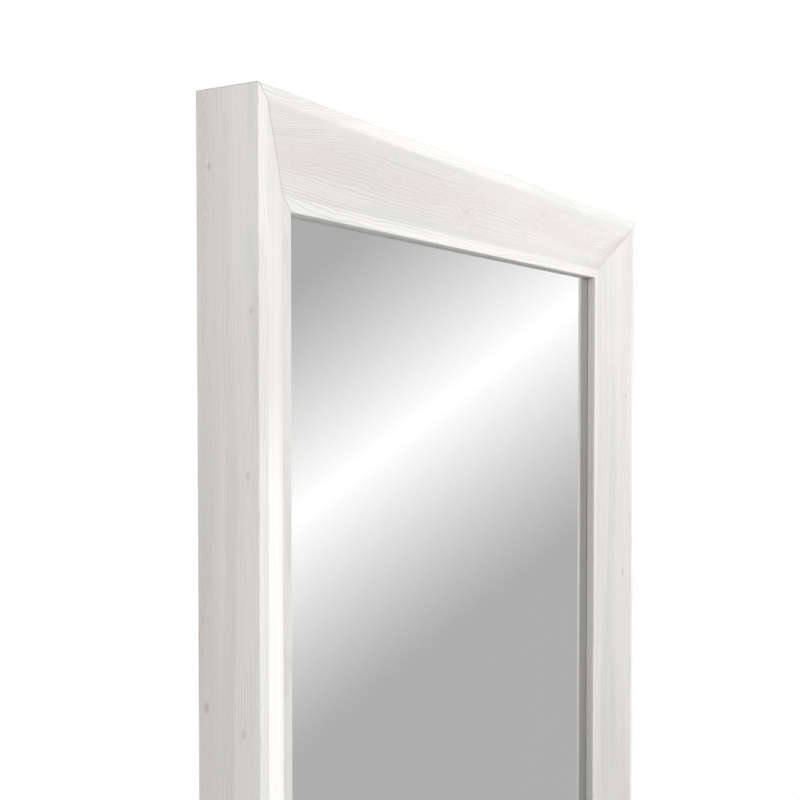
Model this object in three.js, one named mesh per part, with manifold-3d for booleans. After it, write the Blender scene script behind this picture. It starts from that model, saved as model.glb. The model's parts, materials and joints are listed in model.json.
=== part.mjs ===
import * as THREE from 'three';
import { mergeVertices } from 'three/addons/utils/BufferGeometryUtils.js';
import Module from 'manifold-3d';

// A full-length mirror in a mitred wooden frame that hangs over the top of a door on two steel
// hangers. Millimetres. X runs to the viewer's right, -Y points at the viewer, Z is up. The origin
// is midway between the hangers, on the line where the door's front face meets its top edge.

const wasm = await Module();
wasm.setup();

// ---------------------------------------------------------------- driving sizes

const gap = 0.3; // between pieces that touch

// frame
const frameWidth = 356;
const frameHeight = 1270;
const outerLipWidth = 4.5;
const faceRun = 24; // width of the sloping face, seen from the front
const innerLipWidth = 4.8;
const faceDrop = 11.8; // how far the sloping face falls back towards the glass
const lipThickness = 4.2; // wood between the inner lip's front and the glass
const rebateWidth = 7;
const arris = 0.5; // worn-off radius of the long edges
const mitreGap = 0.3;

// glass and backing
const glassThickness = 2;
const boardThickness = 2.5;
const sheetPlay = 1; // air around the glass and the board inside the rebate

// glazing points, which hold the board in
const pointThickness = 0.5;
const pointWidth = 8;
const pointLength = 14;
const pointBite = 5; // length driven into the wood
const pointCover = 1.6; // wood behind the points
const pointsPerStile = 5;
const pointsPerRail = 2;

// V-shaped nails across the mitres
const vNailThickness = 0.6;
const vNailLeg = 5.5;
const vNailHeight = 10;
const vNailInset = 8; // outer nail's apex from the frame's outer edges
const vNailPitch = 8.5; // from the outer nail to the inner one

// hangers
const hangerInset = 92; // middle of each hanger from the frame's side
const hangerWidth = 40;
const hangerThickness = 1.5;
const bendRadius = 1.5; // inside radius
const joggleRise = 6;
const bearingLength = 1.65; // straight stretch that lies on the door above the joggle
const doorGap = 45; // thickest door that fits
const rearLegLength = 45;
const rearFlare = 4;
const rearFlareHeight = 8;
const hangerTravel = 60; // height adjustment
const hangerFoot = 8; // strap left below the slots
const hangerCorner = 5;

// pads inside the hangers
const padThickness = 1.5;
const padInset = 2;
const padCorner = 3;
const rearPadHeight = 30;

// clamp screws, their washers and the inserts they turn in
const screwSpacing = 20;
const screwRadius = 2.5;
const screwLength = 12;
const screwHeadRadius = 5.5;
const screwHeadHeight = 2;
const screwHeadEdge = 0.5;
const coinSlotWidth = 1.6;
const coinSlotDepth = 1;
const screwTip = 0.6;
const washerRadius = 6;
const washerThickness = 1;
const doorClearance = 0.9; // air between the screw heads and the door
const insertRadius = 4;
const insertLength = 10;
const insertRib = 0.5;
const insertRibs = 3;

// bumpers that keep the lower end off the door
const bumperRadius = 8;
const bumperEdge = 1;
const bumperInset = 40; // from the frame's sides

const roundSteps = 32;
const bendSteps = 5;
const arrisSteps = 3;

// ---------------------------------------------------------------- sizes that follow

const mouldingWidth = outerLipWidth + faceRun + innerLipWidth;
const backBand = mouldingWidth - rebateWidth;
const ledge = faceDrop + lipThickness;
const glassFront = ledge + gap;
const boardFront = glassFront + glassThickness + gap;
const pointFront = boardFront + boardThickness + gap;
const mouldingDepth = pointFront + pointThickness + pointCover;

const hangerX = frameWidth / 2 - hangerInset;

const joggle = gap + washerThickness + gap + screwHeadHeight + doorClearance;
const standoff = gap + hangerThickness + joggle;
const bendMiddle = bendRadius + hangerThickness / 2;
const joggleSetback = bendMiddle * Math.tan(Math.atan2(joggle, joggleRise) / 2);

const strapUnderside = padThickness + gap;
const joggleTop = strapUnderside - bendRadius - bearingLength - joggleSetback;
const joggleBottom = joggleTop - joggleRise;
const screwZ = joggleBottom - joggleSetback - gap - washerRadius;
const slotHalfWidth = screwRadius + gap;
const hangerBottom = screwZ - hangerTravel - slotHalfWidth - hangerFoot;

const frameTop = screwZ + backBand / 2;
const frameMiddle = frameTop - frameHeight / 2;
const frameBack = -standoff;
const frameFront = frameBack - mouldingDepth;

const washerY = frameBack + gap + hangerThickness + gap;
const screwHeadY = washerY + washerThickness + gap;
const rearLegFace = doorGap + padThickness + gap;

// ---------------------------------------------------------------- materials

function material(color, roughness, metalness) {
  return new THREE.MeshStandardMaterial({ color, roughness, metalness });
}

const materials = {
  wood: () => material(0xece9e5, 0.45, 0),
  mirror: () => material(0xd9dcdd, 0.03, 1),
  board: () => material(0x7a5a3c, 0.85, 0),
  steel: () => material(0xc4c6c8, 0.3, 1),
  brass: () => material(0xb99a56, 0.35, 1),
  felt: () => material(0xb9b6b0, 0.95, 0),
  rubber: () => material(0x4a4a4a, 0.8, 0),
};

// ---------------------------------------------------------------- solids

function toSolid(geometry) {
  const bare = geometry.clone();
  bare.deleteAttribute('normal');
  bare.deleteAttribute('uv');
  const merged = mergeVertices(bare, 1e-5);
  return new wasm.Manifold(
    new wasm.Mesh({
      numProp: 3,
      vertProperties: new Float32Array(merged.attributes.position.array),
      triVerts: new Uint32Array(merged.index.array),
    }),
  );
}

function toGeometry(solid) {
  const mesh = solid.getMesh();
  const geometry = new THREE.BufferGeometry();
  geometry.setAttribute('position', new THREE.BufferAttribute(mesh.vertProperties, 3));
  geometry.setIndex(new THREE.BufferAttribute(mesh.triVerts, 1));
  return geometry;
}

function cut(geometry, cutters) {
  let solid = toSolid(geometry);
  for (const cutter of cutters) {
    solid = solid.subtract(toSolid(cutter));
  }
  return toGeometry(solid);
}

// A shape drawn in X and Z, with its thickness running from y = 0 to y = depth.
function plate(shape, depth) {
  const geometry = new THREE.ExtrudeGeometry(shape, {
    depth,
    bevelEnabled: false,
    curveSegments: roundSteps / 4,
  });
  return geometry.rotateX(Math.PI / 2).translate(0, depth, 0);
}

function roundedRectangle(width, height, radius) {
  const shape = new THREE.Shape();
  const x = width / 2 - radius;
  const y = height / 2 - radius;
  shape.absarc(x, y, radius, 0, Math.PI / 2);
  shape.absarc(-x, y, radius, Math.PI / 2, Math.PI);
  shape.absarc(-x, -y, radius, Math.PI, 1.5 * Math.PI);
  shape.absarc(x, -y, radius, 1.5 * Math.PI, 2 * Math.PI);
  return shape;
}

// A straight-sided shape whose corners with a radius are rounded.
function outline(corners) {
  const shape = new THREE.Shape();
  corners.forEach(([x, y, radius = 0], i) => {
    const corner = new THREE.Vector2(x, y);
    const before = new THREE.Vector2(...corners.at(i - 1));
    const after = new THREE.Vector2(...corners[(i + 1) % corners.length]);
    const start = before.sub(corner).setLength(radius).add(corner);
    const end = after.sub(corner).setLength(radius).add(corner);
    if (i === 0) {
      shape.moveTo(start.x, start.y);
    } else {
      shape.lineTo(start.x, start.y);
    }
    if (radius > 0) {
      shape.quadraticCurveTo(x, y, end.x, end.y);
    }
  });
  shape.closePath();
  return shape;
}

// The side view of a strip bent at each of its middle line's corners.
function bentStrip(corners, bend, thickness) {
  const line = corners.map(([x, y]) => new THREE.Vector2(x, y));
  const origin = new THREE.Vector2();
  const one = [];
  const other = [];
  const lay = (point, normal) => {
    one.push(point.clone().addScaledVector(normal, thickness / 2));
    other.unshift(point.clone().addScaledVector(normal, -thickness / 2));
  };
  line.forEach((corner, i) => {
    const into = corner.clone().sub(line[Math.max(i - 1, 0)]).normalize();
    const out = line[Math.min(i + 1, line.length - 1)].clone().sub(corner).normalize();
    const along = into.length() > 0 ? into : out;
    const normal = new THREE.Vector2(-along.y, along.x);
    if (i === 0 || i === line.length - 1) {
      lay(corner, normal);
      return;
    }
    const turn = Math.atan2(into.cross(out), into.dot(out));
    const setback = bend * Math.tan(Math.abs(turn) / 2);
    const start = corner.clone().addScaledVector(into, -setback);
    const centre = start.clone().addScaledVector(normal, Math.sign(turn) * bend);
    for (let step = 0; step <= bendSteps; step++) {
      const angle = (turn * step) / bendSteps;
      lay(start.clone().rotateAround(centre, angle), normal.clone().rotateAround(origin, angle));
    }
  });
  return new THREE.Shape([...one, ...other]);
}

// A round solid about Y from the points of its half section.
function turned(points) {
  return new THREE.LatheGeometry(
    points.map(([x, y]) => new THREE.Vector2(x, y)),
    roundSteps,
  );
}

// ---------------------------------------------------------------- assembly

const object = new THREE.Group();
object.name = 'over_door_mirror';

function add(name, geometry, finish, position = [0, 0, 0], parent = object) {
  const mesh = new THREE.Mesh(geometry, materials[finish]());
  mesh.name = name;
  mesh.position.set(...position);
  parent.add(mesh);
  return mesh;
}

// ---------------------------------------------------------------- mitre nails

// Drawn in a corner's own frame: X and -Z run along the two outer edges from the corner.
function vNailShape(apex, clearance) {
  const low = apex - clearance;
  const high = apex + vNailThickness + clearance;
  const tip = apex + vNailLeg + clearance;
  return outline([
    [low, -low],
    [low, -tip],
    [high, -tip],
    [high, -high],
    [tip, -high],
    [tip, -low],
  ]);
}

function vNail(apex) {
  const front = mouldingDepth - gap - vNailHeight;
  return plate(vNailShape(apex, 0), vNailHeight).translate(0, front, 0);
}

function vNailPocket(apex) {
  const front = mouldingDepth - gap - vNailHeight;
  return plate(vNailShape(apex, gap), vNailHeight + 3 * gap).translate(0, front - gap, 0);
}

const vNailApexes = [vNailInset, vNailInset + vNailPitch];

// ---------------------------------------------------------------- glazing points

// Lies in X and Z, with its root at the rebate's wall and its tongue running along -Z.
function glazingPoint() {
  const half = pointWidth / 2;
  const shape = outline([
    [-half, pointBite / 2],
    [0, pointBite],
    [half, pointBite / 2],
    [half, pointBite - pointLength, half / 2],
    [-half, pointBite - pointLength, half / 2],
  ]);
  return plate(shape, pointThickness).translate(0, pointFront, 0);
}

function glazingPocket() {
  const width = pointWidth + 2 * gap;
  const pocket = new THREE.BoxGeometry(width, pointThickness + 2 * gap, pointBite + 2 * gap);
  return pocket.translate(0, pointFront + pointThickness / 2, pointBite / 2);
}

function pointPlaces(length, count) {
  const pitch = (length - 2 * mouldingWidth) / count;
  return Array.from({ length: count }, (_, i) => (i - (count - 1) / 2) * pitch);
}

// ---------------------------------------------------------------- frame

function mouldingShape() {
  const faceEnd = outerLipWidth + faceRun;
  return outline([
    [0, 0, arris],
    [outerLipWidth, 0, arris],
    [faceEnd, faceDrop],
    [mouldingWidth, faceDrop, arris],
    [mouldingWidth, ledge],
    [backBand, ledge],
    [backBand, mouldingDepth],
    [0, mouldingDepth, arris],
  ]);
}

// A mitred bar as the top rail lies: its length along X, its outer edge at z = 0, its front at y = 0.
function mouldingBar(length) {
  const bar = new THREE.ExtrudeGeometry(mouldingShape(), {
    depth: 1,
    bevelEnabled: false,
    curveSegments: arrisSteps,
  });
  const trim = mitreGap / Math.SQRT2;
  const at = bar.attributes.position;
  for (let i = 0; i < at.count; i++) {
    const inward = at.getX(i);
    const end = at.getZ(i) > 0.5 ? 1 : -1;
    at.setXYZ(i, end * (length / 2 - inward - trim), at.getY(i), -inward);
  }
  return bar;
}

function barPockets(length, count) {
  const pockets = pointPlaces(length, count).map((x) => glazingPocket().translate(x, 0, -backBand));
  for (const apex of vNailApexes) {
    pockets.push(vNailPocket(apex).translate(-length / 2, 0, 0));
    pockets.push(vNailPocket(apex).rotateY(Math.PI / 2).translate(length / 2, 0, 0));
  }
  return pockets;
}

function insertPocket() {
  const depth = gap + insertLength + gap;
  const pocket = new THREE.CylinderGeometry(insertRadius + gap, insertRadius + gap, depth * 2, roundSteps);
  return pocket.translate(0, mouldingDepth, 0);
}

// The sides of the frame, each turned from the top rail's place about the frame's middle.
const sides = [
  { side: 'top', name: 'top_rail', turn: 0, length: frameWidth, reach: frameHeight / 2 },
  { side: 'right', name: 'right_stile', turn: 1, length: frameHeight, reach: frameWidth / 2 },
  { side: 'bottom', name: 'bottom_rail', turn: 2, length: frameWidth, reach: frameHeight / 2 },
  { side: 'left', name: 'left_stile', turn: 3, length: frameHeight, reach: frameWidth / 2 },
];

const screwPlaces = [-1, 1].flatMap((hanger) =>
  [-1, 1].map((screw) => ({
    name: `${hanger < 0 ? 'left' : 'right'}_${screw < 0 ? 'a' : 'b'}`,
    x: hanger * hangerX + (screw * screwSpacing) / 2,
  })),
);

function addFrame() {
  for (const { side, name, turn, length, reach } of sides) {
    const quarter = new THREE.Group();
    quarter.position.set(0, frameFront, frameMiddle);
    quarter.rotation.y = (turn * Math.PI) / 2;
    object.add(quarter);

    const count = turn % 2 === 0 ? pointsPerRail : pointsPerStile;
    const pockets = barPockets(length, count);
    if (side === 'top') {
      for (const { x } of screwPlaces) {
        pockets.push(insertPocket().translate(x, 0, -backBand / 2));
      }
    }
    add(name, cut(mouldingBar(length), pockets), 'wood', [0, 0, reach], quarter);

    pointPlaces(length, count).forEach((x, i) => {
      const place = [x, 0, reach - backBand];
      add(`glazing_point_${side}_${i + 1}`, glazingPoint(), 'steel', place, quarter);
    });
    vNailApexes.forEach((apex, i) => {
      const place = [-length / 2, 0, reach];
      add(`v_nail_${side}_${i + 1}`, vNail(apex), 'steel', place, quarter);
    });
  }
}

// ---------------------------------------------------------------- glass and board

function addSheet(name, front, thickness, finish) {
  const margin = 2 * (backBand + sheetPlay);
  const sheet = new THREE.BoxGeometry(frameWidth - margin, thickness, frameHeight - margin);
  add(name, sheet, finish, [0, frameFront + front + thickness / 2, frameMiddle]);
}

// ---------------------------------------------------------------- hangers

// What is cut away to round a lower corner of a strap whose end is at z = 0.
function cornerCutter(side, depth) {
  const edge = hangerWidth / 2;
  const straight = edge - hangerCorner;
  const right = side > 0;
  const shape = new THREE.Shape();
  shape.moveTo(side * straight, -gap);
  shape.lineTo(side * (edge + gap), -gap);
  shape.lineTo(side * (edge + gap), hangerCorner);
  shape.lineTo(side * edge, hangerCorner);
  const [from, to] = right ? [0, -Math.PI / 2] : [Math.PI, 1.5 * Math.PI];
  shape.absarc(side * straight, hangerCorner, hangerCorner, from, to, right);
  return plate(shape, depth);
}

function hangerStrap() {
  const half = hangerThickness / 2;
  const near = frameBack + gap + half;
  const corners = [
    [near, hangerBottom],
    [near, joggleBottom],
    [-half, joggleTop],
    [-half, strapUnderside + half],
    [rearLegFace + half, strapUnderside + half],
    [rearLegFace + half, rearFlareHeight - rearLegLength],
    [rearLegFace + half + rearFlare, -rearLegLength],
  ];
  const strip = new THREE.ExtrudeGeometry(bentStrip(corners, bendMiddle, hangerThickness), {
    depth: hangerWidth,
    bevelEnabled: false,
  });
  const sideways = new THREE.Matrix4().makeBasis(
    new THREE.Vector3(0, 1, 0),
    new THREE.Vector3(0, 0, 1),
    new THREE.Vector3(1, 0, 0),
  );
  return strip.applyMatrix4(sideways).translate(-hangerWidth / 2, 0, 0);
}

function hangerSlot(x) {
  const height = hangerTravel + 2 * slotHalfWidth;
  const shape = roundedRectangle(2 * slotHalfWidth, height, slotHalfWidth);
  const depth = hangerThickness + 2 * gap;
  return plate(shape, depth).translate(x, frameBack, screwZ - hangerTravel / 2);
}

function hangerCutters() {
  const cutters = [hangerSlot(-screwSpacing / 2), hangerSlot(screwSpacing / 2)];
  const rearDepth = hangerThickness + rearFlare + 2 * gap;
  const tip = -rearLegLength - hangerThickness / 2;
  for (const side of [-1, 1]) {
    const foot = cornerCutter(side, hangerThickness + 2 * gap);
    cutters.push(foot.translate(0, frameBack, hangerBottom));
    cutters.push(cornerCutter(side, rearDepth).translate(0, rearLegFace - gap, tip));
  }
  return cutters;
}

function topPad() {
  const length = doorGap - 2 * padInset;
  const shape = roundedRectangle(hangerWidth - 2 * padInset, length, padCorner);
  return plate(shape, padThickness).rotateX(Math.PI / 2).translate(0, doorGap / 2, 0);
}

function rearPad() {
  const shape = roundedRectangle(hangerWidth - 2 * padInset, rearPadHeight, padCorner);
  return plate(shape, padThickness).translate(0, doorGap, -padInset - rearPadHeight / 2);
}

function addHangers() {
  for (const [side, x] of [['left', -hangerX], ['right', hangerX]]) {
    const hanger = new THREE.Group();
    hanger.position.x = x;
    object.add(hanger);
    add(`${side}_hanger`, cut(hangerStrap(), hangerCutters()), 'steel', [0, 0, 0], hanger);
    add(`${side}_hanger_top_pad`, topPad(), 'felt', [0, 0, 0], hanger);
    add(`${side}_hanger_rear_pad`, rearPad(), 'felt', [0, 0, 0], hanger);
  }
}

// ---------------------------------------------------------------- clamp screws

function clampScrew() {
  const body = turned([
    [0, -screwLength],
    [screwRadius - screwTip, -screwLength],
    [screwRadius, screwTip - screwLength],
    [screwRadius, 0],
    [screwHeadRadius, 0],
    [screwHeadRadius, screwHeadHeight - screwHeadEdge],
    [screwHeadRadius - screwHeadEdge, screwHeadHeight],
    [0, screwHeadHeight],
  ]);
  const slot = new THREE.BoxGeometry(3 * screwHeadRadius, 2 * coinSlotDepth, coinSlotWidth);
  return cut(body, [slot.translate(0, screwHeadHeight, 0)]);
}

function washer() {
  const shape = new THREE.Shape();
  shape.absarc(0, 0, washerRadius, 0, 2 * Math.PI);
  const hole = new THREE.Path();
  hole.absarc(0, 0, screwRadius + gap, 0, 2 * Math.PI, true);
  shape.holes.push(hole);
  return plate(shape, washerThickness);
}

function threadedInsert() {
  const bore = screwRadius + gap;
  const pitch = insertLength / insertRibs;
  const points = [[bore, -insertLength]];
  for (let rib = 0; rib < insertRibs; rib++) {
    const low = rib * pitch - insertLength;
    points.push([insertRadius - insertRib, low]);
    points.push([insertRadius, low + pitch / 2]);
  }
  points.push([insertRadius, 0], [bore, 0], [bore, -insertLength]);
  return turned(points);
}

function addClampScrews() {
  for (const { name, x } of screwPlaces) {
    add(`threaded_insert_${name}`, threadedInsert(), 'brass', [x, frameBack - gap, screwZ]);
    add(`washer_${name}`, washer(), 'steel', [x, washerY, screwZ]);
    add(`clamp_screw_${name}`, clampScrew(), 'steel', [x, screwHeadY, screwZ]);
  }
}

// ---------------------------------------------------------------- bumpers

function bumper() {
  const thickness = standoff - gap;
  return turned([
    [0, -thickness],
    [bumperRadius, -thickness],
    [bumperRadius, -bumperEdge],
    [bumperRadius - bumperEdge, 0],
    [0, 0],
  ]);
}

function addBumpers() {
  const x = frameWidth / 2 - bumperInset;
  const z = frameTop - frameHeight + backBand / 2;
  add('left_bumper', bumper(), 'rubber', [-x, 0, z]);
  add('right_bumper', bumper(), 'rubber', [x, 0, z]);
}

addFrame();
addSheet('mirror_glass', glassFront, glassThickness, 'mirror');
addSheet('backing_board', boardFront, boardThickness, 'board');
addHangers();
addClampScrews();
addBumpers();

export default object;
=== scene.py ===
"""Dresses the packed over the door mirror: whitewashed wood, silvered glass, zinc steel, felt and rubber,
with a plain pale studio round it. Everything is in metres, in the frame of the packed part.
"""

import json
import math

import bmesh
import bpy
from bpy.props import FloatProperty, FloatVectorProperty, IntProperty, PointerProperty
from bpy.types import Operator, Panel, PropertyGroup
from mathutils import Matrix, Vector

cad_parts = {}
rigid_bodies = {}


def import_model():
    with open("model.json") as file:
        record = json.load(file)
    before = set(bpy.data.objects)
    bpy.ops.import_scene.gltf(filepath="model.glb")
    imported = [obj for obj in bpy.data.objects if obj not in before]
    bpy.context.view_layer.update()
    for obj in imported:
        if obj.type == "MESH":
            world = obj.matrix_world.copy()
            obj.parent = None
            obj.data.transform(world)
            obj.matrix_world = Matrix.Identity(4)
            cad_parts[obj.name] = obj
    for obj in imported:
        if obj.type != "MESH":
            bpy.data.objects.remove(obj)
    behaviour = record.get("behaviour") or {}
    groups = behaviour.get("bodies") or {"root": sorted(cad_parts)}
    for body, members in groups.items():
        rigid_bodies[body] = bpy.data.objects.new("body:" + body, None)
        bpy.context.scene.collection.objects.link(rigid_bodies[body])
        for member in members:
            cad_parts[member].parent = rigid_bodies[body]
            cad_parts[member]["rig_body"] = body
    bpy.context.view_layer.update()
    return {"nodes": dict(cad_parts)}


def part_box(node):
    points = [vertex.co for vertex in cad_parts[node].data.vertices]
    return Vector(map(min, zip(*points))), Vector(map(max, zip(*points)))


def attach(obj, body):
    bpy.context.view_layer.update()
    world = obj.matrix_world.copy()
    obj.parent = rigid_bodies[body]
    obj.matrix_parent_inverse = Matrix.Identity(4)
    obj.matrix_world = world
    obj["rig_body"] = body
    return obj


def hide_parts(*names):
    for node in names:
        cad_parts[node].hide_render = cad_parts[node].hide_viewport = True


bl_info = {
    "name": "Over the Door Mirror",
    "version": (1, 0, 0),
    "blender": (4, 5, 0),
    "location": "3D View > Sidebar > Mirror",
    "description": "Finishes, hardware and studio for a framed mirror that hangs over a door",
    "category": "Object",
}

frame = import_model()

SIDES = ("left", "right")
SCREWS = ("left_a", "left_b", "right_a", "right_b")
SLOT_TURNS = (8, -21, 34, -5)  # degrees from level, as the screws happen to stand
MILLIMETRE = 0.001
CAD_GAP = 0.0003  # the solids keep it between pieces that touch
REBATE_GAP = 0.00016  # the glass plate closes the gap to the rebate by this much
GLASS_EDGE = 0.0003
PAD_CORNER, PAD_EDGE = 0.003, 0.0004
THREAD_DEPTH = 0.61  # of the pitch
GLUE_THICKNESS = 0.00026
GLUE_RECESS = 0.00004  # how far the glue stays behind the wood's surface
CREASE = 1.2  # radians; edges that turn by more are rims

# The moulding's section: places inward from the outer side, and depths behind the front.
MOULDING_WIDTH = 0.0333
OUTER_LIP = 0.0045
SLOPE_END = 0.0285
SLOPE_FALL = 0.0118
SIGHT_WALL_END = 0.0160
REBATE_WIDTH = 0.0070
MOULDING_ARRIS = 0.0006

ALL_ALONG = 1e5  # as long as any rail

# The rails, each with the turn about Y that brings it to lie like the top rail. Places on a rail are
# (along, depth behind the front, outward from the outer side), in mm. The heart is the middle of the
# tree's rings. A swerve is (along, half length, rise of the grain near the outer side, and near the
# inner), a dip (along, depth, outward, size, rise), a knot (along, depth, outward, half width,
# darkness). A band of heartwood is (depth, outward, half width, strength), a flame, where rings are
# cut at a slant, likewise, and a patch of painted light and shade is (along, depth, outward, half
# length, half width, factor): the wash painted lighter where light falls, darker where shade falls.
RAILS = {
    "top_rail": {
        "turn": 0,
        "heart": (62, -58),
        "ring": 0.80,
        "swerves": ((-142, 26, -8, 4),),
        "dips": ((98, 2, -8, 22, 4.4), (-27, 8, -23, 12, 3.4), (131, 4, -11, 15, -1.6)),
        "knots": ((38, 8.4, -21.5, 0.7, 0.25),),
        "bands": ((6.5, -17, 5, 0.85), (1.2, -3, 1.8, 0.4)),
        "flames": ((7, -18.5, 2.6, 0.12),),
        # painted light: the wash lighter at the slope's right end and along part of the outer lip
        "tones": ((148, 8, -21, 22, 10, 1.06), (-50, 0, -2.2, 90, 3.4, 1.06)),
        "wander": 10,
        "lines": 1.12,
        "seed": 3,
    },
    "right_stile": {
        "turn": -90,
        "heart": (48, -70),
        "ring": 1.05,
        "swerves": (),
        "dips": ((420, 8, -20, 16, 3),),
        "knots": (
            (101, 2.3, -9.1, 0.75, 0.4),
            (200.5, 3.1, -10.9, 0.95, 0.45),
            (335, 10.6, -26, 0.8, 0.4),
            (655, 8.1, -21, 2.1, 0.6),
        ),
        "bands": ((3.4, -10, 4.6, 0.6), (11.6, -27.5, 1.8, 0.45)),
        "flames": ((3, -9, 2, 0.12),),
        # painted shade: slope and inner wall darker, most towards the bottom; painted light on the outer lip
        # near the top
        "tones": (
            (0, 9, -22, ALL_ALONG, 8.6, 0.955),
            (165, 9, -22, 90, 9, 0.975),
            (400, 6, -16.5, 170, 14, 0.94),
            (0, 15.5, -34.5, ALL_ALONG, 3.2, 0.965),
            (370, 15.5, -34.5, 150, 3.2, 0.935),
            (70, 0, -2.2, 130, 3.5, 1.06),
        ),
        "wander": 7,
        "lines": 0.9,
        "seed": 11,
    },
    "bottom_rail": {
        "turn": 180,
        "heart": (70, -48),
        "ring": 1,
        "swerves": ((-150, 30, 6, 2),),
        "dips": ((60, 5, -15, 18, -4),),
        "knots": ((62, 5.2, -15, 1.7, 0.55),),
        "bands": ((4, -11, 3.4, 0.7), (14, 0, 2.2, 0.7)),
        "flames": ((18, 0, 3.2, 0.35),),
        # painted shade: the inner lip darker all along
        "tones": ((0, 11.8, -31, ALL_ALONG, 3.4, 0.93),),
        "wander": 10,
        "lines": 0.95,
        "seed": 23,
    },
    "left_stile": {
        "turn": 90,
        "heart": (58, -34),
        "ring": 0.76,
        "swerves": (),
        "dips": ((-52, 0, 0, 16, 2.6),),
        "knots": (
            (-25.5, 18.4, 0, 0.72, 0.55),
            (-68.6, 3, 0, 0.66, 0.42),
            (-118, 4.6, 0, 0.66, 0.38),
            (-189, 20.2, 0, 0.95, 0.48),
            (-195.4, 6.4, 0, 0.90, 0.42),
            (-69.7, 0.95, -6.4, 0.5, 0.3),
            (-742, 14, 0, 1.8, 0.6),
        ),
        "bands": ((12.2, 0, 2.4, 0.5), (20.8, 0, 3.6, 0.55), (4.5, -9.5, 3, 0.4)),
        "flames": ((20.6, 0, 2.6, 0.4),),
        # painted shade on the inner lip and the back of the side face; painted light and shade in patches on
        # the outer lip; painted light near the front of the side face
        "tones": (
            (0, 12.4, -31.4, ALL_ALONG, 4, 0.86),
            (-76, 0, -2, 34, 3.4, 0.93),
            (-190, 0, -2, 80, 3.4, 1.02),
            (0, 21.5, 1, ALL_ALONG, 7, 0.94),
            (-280, 4, 3, 200, 8, 1.045),
        ),
        "wander": 6,
        "lines": 0.72,
        "seed": 37,
    },
}


# ---------------- sizes and colours


def a_colour(name, description, *rgb):
    return FloatVectorProperty(
        name=name, description=description, subtype="COLOR", size=3, min=0, max=1, default=rgb
    )


def a_length(name, description, default):
    return FloatProperty(name=name, description=description, default=default, unit="LENGTH")


def a_level(name, description, default):
    return FloatProperty(name=name, description=description, default=default, min=0)


class WoodLook(PropertyGroup):
    """Whitewashed softwood."""

    wash: a_colour("Wash", "Colour of the whitewash", 0.853, 0.841, 0.816)
    rose: a_colour("Rose streaks", "Tint where the heartwood shows through", 0.822, 0.766, 0.738)
    sage: a_colour("Grey streaks", "Tint of the cooler sapwood streaks", 0.802, 0.803, 0.770)
    late: a_colour("Late wood", "Colour of the dark line of each year ring", 0.56, 0.525, 0.49)
    knot: a_colour("Knots", "Colour of a knot's core", 0.53, 0.44, 0.405)
    bare: a_colour("Bare wood", "Colour of the unpainted back and rebate", 0.60, 0.42, 0.25)
    ring_width: FloatProperty(name="Ring width", description="Mean width of a ring, mm", default=1, min=0.3)
    ring_depth: FloatProperty(
        name="Ring contrast", description="How strongly the late wood shows", default=0.62, min=0, max=1,
        subtype="FACTOR",
    )
    back_depth: a_level("Bare from", "Depth behind the front, mm", 23.25)


class StrapShape(PropertyGroup):
    """The steel hanger, as the flat strap that is bent over the door."""

    thickness: a_length("Thickness", "Steel thickness", 0.0015)
    bend: a_length("Bend", "Inside bend radius", 0.0015)
    foot: a_length("Foot", "Steel below the slots", 0.008)
    slot_width: a_length("Slot width", "Width of the screw slots", 0.0056)
    slot_spacing: a_length("Slot spacing", "Between the two slots' middles", 0.020)
    corner: a_length("Corners", "Radius of the strap's corners", 0.005)
    edge: a_length("Deburring", "Radius of the deburred edges", 0.0003)
    joggle: a_length("Joggle", "Height of the step", 0.006)
    bearing: a_length("Bearing", "Straight above the step", 0.00165)
    travel: a_length("Travel", "Height adjustment on the slots", 0.06)
    rear_leg: a_length("Rear leg", "Below the top of the door, behind it", 0.045)
    flare: a_length("Flare", "How far the rear end opens", 0.004)
    flare_height: a_length("Flare height", "Length that opens", 0.008)
    steps: IntProperty(name="Bend steps", description="Facets in each bend", default=8, min=2)


class ScrewShape(PropertyGroup):
    """The clamp screws with a coin slot and a milled rim."""

    head_radius: a_length("Head radius", "To the milled rim", 0.0055)
    head_height: a_length("Head height", "Above the washer", 0.002)
    slot_width: a_length("Slot width", "For a coin", 0.0016)
    slot_depth: a_length("Slot depth", "For a coin", 0.001)
    shank_radius: a_length("Shank radius", "Over the thread", 0.0025)
    length: a_length("Length", "Under the head", 0.012)
    pitch: a_length("Pitch", "Of the thread", 0.0008)
    mill_depth: a_length("Milling", "Depth of the rim's notches", 0.00022)
    notches: IntProperty(name="Notches", description="Round the rim", default=32, min=8)


class HardwareLook(PropertyGroup):
    """Steel, brass, felt, rubber and board."""

    steel: a_colour("Zinc", "Bright zinc plating", 0.66, 0.67, 0.68)
    brass: a_colour("Brass", "Threaded inserts", 0.70, 0.52, 0.25)
    felt: a_colour("Felt", "Pads", 0.47, 0.455, 0.43)
    rubber: a_colour("Rubber", "Bumpers", 0.055, 0.055, 0.057)
    board: a_colour("Hardboard", "Backing board", 0.27, 0.155, 0.082)


class StudioLook(PropertyGroup):
    """Camera, light and floor."""

    lens: FloatProperty(name="Lens", description="Focal length", default=0.050, unit="CAMERA")
    ambient: a_level("Ambient", "Even light from all round", 0.11)
    grey: a_level("Grey", "Brightness of what the glass mirrors", 0.6406)
    band: a_level("Band", "Brightness of the mirrored band", 1.548)
    window: a_level("Window", "Brightness of the low window", 3.1)
    floor_drop: a_length("Floor", "Floor below the door's top", 2)
    floor_glow: a_level("Floor glow", "Light the floor gives of its own", 0.5)
    floor_radius: a_length("Floor radius", "Size of the floor", 3.2)


LOOKS = (
    ("mirror_wood", WoodLook),
    ("mirror_strap", StrapShape),
    ("mirror_screw", ScrewShape),
    ("mirror_hardware", HardwareLook),
    ("mirror_studio", StudioLook),
)


# ---------------- finishes


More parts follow.
